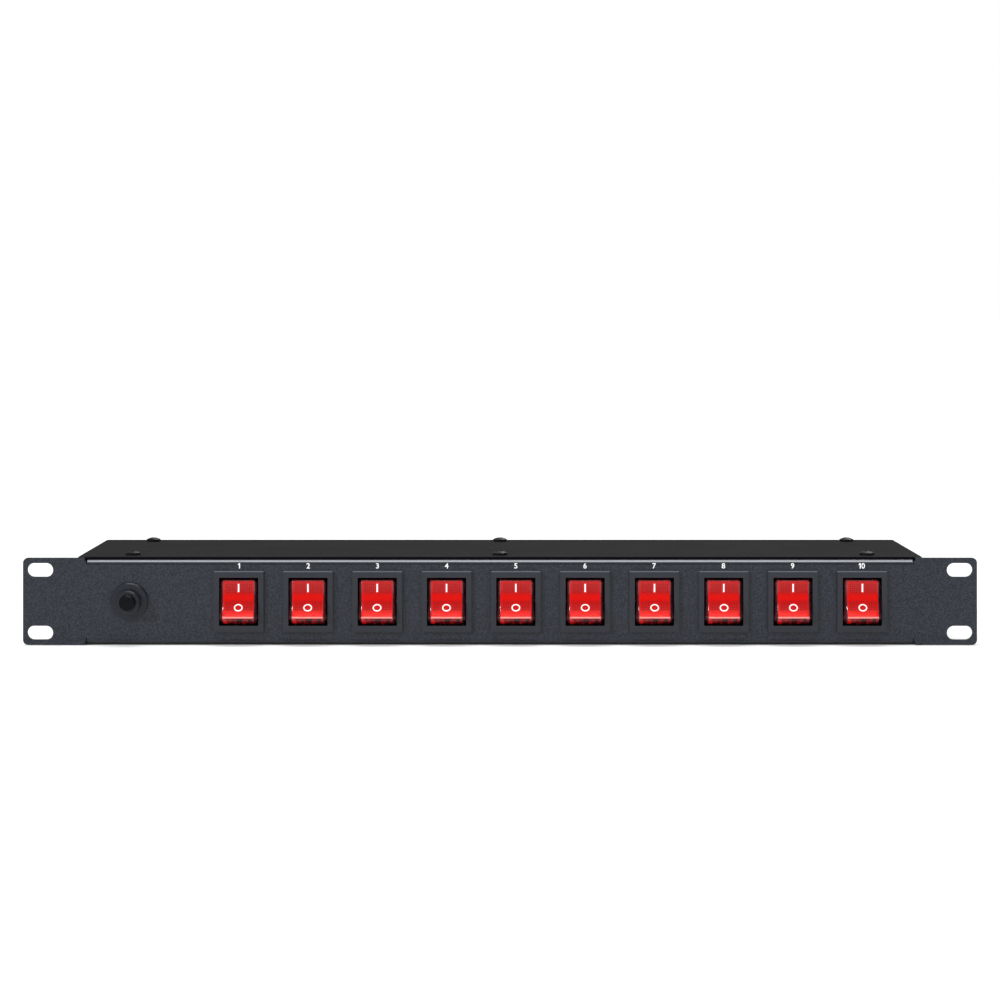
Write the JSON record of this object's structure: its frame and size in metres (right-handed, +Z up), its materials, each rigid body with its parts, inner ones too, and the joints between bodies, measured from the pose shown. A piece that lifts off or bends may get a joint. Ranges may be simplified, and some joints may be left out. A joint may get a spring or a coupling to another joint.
{
  "type": "rack power strip",
  "caption": "Rack-mount power strip: low sheet-metal case with eared front panel, lighted red rocker switches, universal outlets along the rear, a push-reset breaker and a corded cable gland.",
  "frame": {"origin": "centre of the four rack slots, on the rear face of the ears, which bears on the rack rails", "axes": "+X to the right as seen from the front, +Y into the rack along the slots' normal, +Z up"},
  "size_m": [0.4826, 0.2834, 0.0466],
  "materials": {
    "panel_paint": "fine textured powder coat, satin",
    "case_paint": "fine textured powder coat, satin",
    "cover_paint": "fine textured powder coat, satin",
    "black_screws": "black zinc, semi-gloss",
    "switch_black": "satin moulded plastic",
    "rocker_red": "translucent red moulded plastic, gloss",
    "lamp_glass": "clear neon capsule",
    "outlet_grey": "fine grained moulded plastic",
    "contact_brass": "bright brass",
    "tinned": "tinned",
    "button_black": "moulded plastic",
    "nylon_black": "moulded nylon, satin",
    "seal_rubber": "matt",
    "wire_brown": "PVC insulation",
    "wire_red": "PVC insulation",
    "wire_blue": "PVC insulation",
    "cord_pvc": "satin PVC jacket",
    "tie_fabric": "hook and loop strap"
  },
  "bodies": {
    "case": {"front_panel": "panel_paint", "chassis_tray": "case_paint", "top_cover": "cover_paint", "cover_screws": "black_screws", "base_screws": "black_screws", "switch_housings": "switch_black", "switch_terminals": "tinned", "switch_lamps": "lamp_glass", "outlet_01": "outlet_grey", "outlet_02": "outlet_grey", "outlet_03": "outlet_grey", "outlet_04": "outlet_grey", "outlet_05": "outlet_grey", "outlet_06": "outlet_grey", "outlet_07": "outlet_grey", "outlet_08": "outlet_grey", "outlet_09": "outlet_grey", "outlet_10": "outlet_grey", "outlet_contacts": "contact_brass", "breaker_housing": "switch_black", "breaker_ring_nut": "switch_black", "breaker_terminals": "tinned", "gland_body": "nylon_black", "gland_locknut": "nylon_black", "gland_seal": "seal_rubber", "gland_dome_nut": "nylon_black", "supply_leads": "wire_brown", "live_bus": "wire_brown", "switched_wires": "wire_red", "lamp_wires": "wire_blue", "neutral_bus": "contact_brass", "earth_bus": "contact_brass", "earth_stud": "tinned", "power_cord": "cord_pvc", "cord_coil": "cord_pvc", "cord_tail": "cord_pvc", "cord_ties": "tie_fabric", "plug_body": "cord_pvc", "plug_pins": "contact_brass"},
    "rocker_01": {"rocker_01": "rocker_red"},
    "rocker_02": {"rocker_02": "rocker_red"},
    "rocker_03": {"rocker_03": "rocker_red"},
    "rocker_04": {"rocker_04": "rocker_red"},
    "rocker_05": {"rocker_05": "rocker_red"},
    "rocker_06": {"rocker_06": "rocker_red"},
    "rocker_07": {"rocker_07": "rocker_red"},
    "rocker_08": {"rocker_08": "rocker_red"},
    "rocker_09": {"rocker_09": "rocker_red"},
    "rocker_10": {"rocker_10": "rocker_red"},
    "contact_arm_01": {"contact_arm_01": "contact_brass"},
    "contact_arm_02": {"contact_arm_02": "contact_brass"},
    "contact_arm_03": {"contact_arm_03": "contact_brass"},
    "contact_arm_04": {"contact_arm_04": "contact_brass"},
    "contact_arm_05": {"contact_arm_05": "contact_brass"},
    "contact_arm_06": {"contact_arm_06": "contact_brass"},
    "contact_arm_07": {"contact_arm_07": "contact_brass"},
    "contact_arm_08": {"contact_arm_08": "contact_brass"},
    "contact_arm_09": {"contact_arm_09": "contact_brass"},
    "contact_arm_10": {"contact_arm_10": "contact_brass"},
    "breaker_button": {"breaker_button": "button_black"}
  },
  "joints": [
    {"name": "rocker_01_tilt", "type": "hinge", "parent": "case", "child": "rocker_01", "pos_m": [-0.132, 0.0013, 0], "axis": [1, 0, 0], "range_deg": [0, 22]},
    {"name": "contact_arm_01_tilt", "type": "hinge", "parent": "case", "child": "contact_arm_01", "pos_m": [-0.132, 0.017, 0], "axis": [1, 0, 0], "range_deg": [-11.05, 0.05]},
    {"name": "rocker_02_tilt", "type": "hinge", "parent": "case", "child": "rocker_02", "pos_m": [-0.097, 0.0013, 0], "axis": [1, 0, 0], "range_deg": [0, 22]},
    {"name": "contact_arm_02_tilt", "type": "hinge", "parent": "case", "child": "contact_arm_02", "pos_m": [-0.097, 0.017, 0], "axis": [1, 0, 0], "range_deg": [-11.05, 0.05]},
    {"name": "rocker_03_tilt", "type": "hinge", "parent": "case", "child": "rocker_03", "pos_m": [-0.062, 0.0013, 0], "axis": [1, 0, 0], "range_deg": [0, 22]},
    {"name": "contact_arm_03_tilt", "type": "hinge", "parent": "case", "child": "contact_arm_03", "pos_m": [-0.062, 0.017, 0], "axis": [1, 0, 0], "range_deg": [-11.05, 0.05]},
    {"name": "rocker_04_tilt", "type": "hinge", "parent": "case", "child": "rocker_04", "pos_m": [-0.027, 0.0013, 0], "axis": [1, 0, 0], "range_deg": [0, 22]},
    {"name": "contact_arm_04_tilt", "type": "hinge", "parent": "case", "child": "contact_arm_04", "pos_m": [-0.027, 0.017, 0], "axis": [1, 0, 0], "range_deg": [-11.05, 0.05]},
    {"name": "rocker_05_tilt", "type": "hinge", "parent": "case", "child": "rocker_05", "pos_m": [0.008, 0.0013, 0], "axis": [1, 0, 0], "range_deg": [0, 22]},
    {"name": "contact_arm_05_tilt", "type": "hinge", "parent": "case", "child": "contact_arm_05", "pos_m": [0.008, 0.017, 0], "axis": [1, 0, 0], "range_deg": [-11.05, 0.05]},
    {"name": "rocker_06_tilt", "type": "hinge", "parent": "case", "child": "rocker_06", "pos_m": [0.043, 0.0013, 0], "axis": [1, 0, 0], "range_deg": [0, 22]},
    {"name": "contact_arm_06_tilt", "type": "hinge", "parent": "case", "child": "contact_arm_06", "pos_m": [0.043, 0.017, 0], "axis": [1, 0, 0], "range_deg": [-11.05, 0.05]},
    {"name": "rocker_07_tilt", "type": "hinge", "parent": "case", "child": "rocker_07", "pos_m": [0.078, 0.0013, 0], "axis": [1, 0, 0], "range_deg": [0, 22]},
    {"name": "contact_arm_07_tilt", "type": "hinge", "parent": "case", "child": "contact_arm_07", "pos_m": [0.078, 0.017, 0], "axis": [1, 0, 0], "range_deg": [-11.05, 0.05]},
    {"name": "rocker_08_tilt", "type": "hinge", "parent": "case", "child": "rocker_08", "pos_m": [0.113, 0.0013, 0], "axis": [1, 0, 0], "range_deg": [0, 22]},
    {"name": "contact_arm_08_tilt", "type": "hinge", "parent": "case", "child": "contact_arm_08", "pos_m": [0.113, 0.017, 0], "axis": [1, 0, 0], "range_deg": [-11.05, 0.05]},
    {"name": "rocker_09_tilt", "type": "hinge", "parent": "case", "child": "rocker_09", "pos_m": [0.148, 0.0013, 0], "axis": [1, 0, 0], "range_deg": [0, 22]},
    {"name": "contact_arm_09_tilt", "type": "hinge", "parent": "case", "child": "contact_arm_09", "pos_m": [0.148, 0.017, 0], "axis": [1, 0, 0], "range_deg": [-11.05, 0.05]},
    {"name": "rocker_10_tilt", "type": "hinge", "parent": "case", "child": "rocker_10", "pos_m": [0.183, 0.0013, 0], "axis": [1, 0, 0], "range_deg": [0, 22]},
    {"name": "contact_arm_10_tilt", "type": "hinge", "parent": "case", "child": "contact_arm_10", "pos_m": [0.183, 0.017, 0], "axis": [1, 0, 0], "range_deg": [-11.05, 0.05]},
    {"name": "breaker_button_slide", "type": "slide", "parent": "case", "child": "breaker_button", "axis": [0, -1, 0], "range_m": [0, 0.0035]}
  ],
  "couplings": [
    {"joint": "contact_arm_01_tilt", "follows": "rocker_01_tilt", "ratio": -0.5},
    {"joint": "contact_arm_02_tilt", "follows": "rocker_02_tilt", "ratio": -0.5},
    {"joint": "contact_arm_03_tilt", "follows": "rocker_03_tilt", "ratio": -0.5},
    {"joint": "contact_arm_04_tilt", "follows": "rocker_04_tilt", "ratio": -0.5},
    {"joint": "contact_arm_05_tilt", "follows": "rocker_05_tilt", "ratio": -0.5},
    {"joint": "contact_arm_06_tilt", "follows": "rocker_06_tilt", "ratio": -0.5},
    {"joint": "contact_arm_07_tilt", "follows": "rocker_07_tilt", "ratio": -0.5},
    {"joint": "contact_arm_08_tilt", "follows": "rocker_08_tilt", "ratio": -0.5},
    {"joint": "contact_arm_09_tilt", "follows": "rocker_09_tilt", "ratio": -0.5},
    {"joint": "contact_arm_10_tilt", "follows": "rocker_10_tilt", "ratio": -0.5}
  ]
}
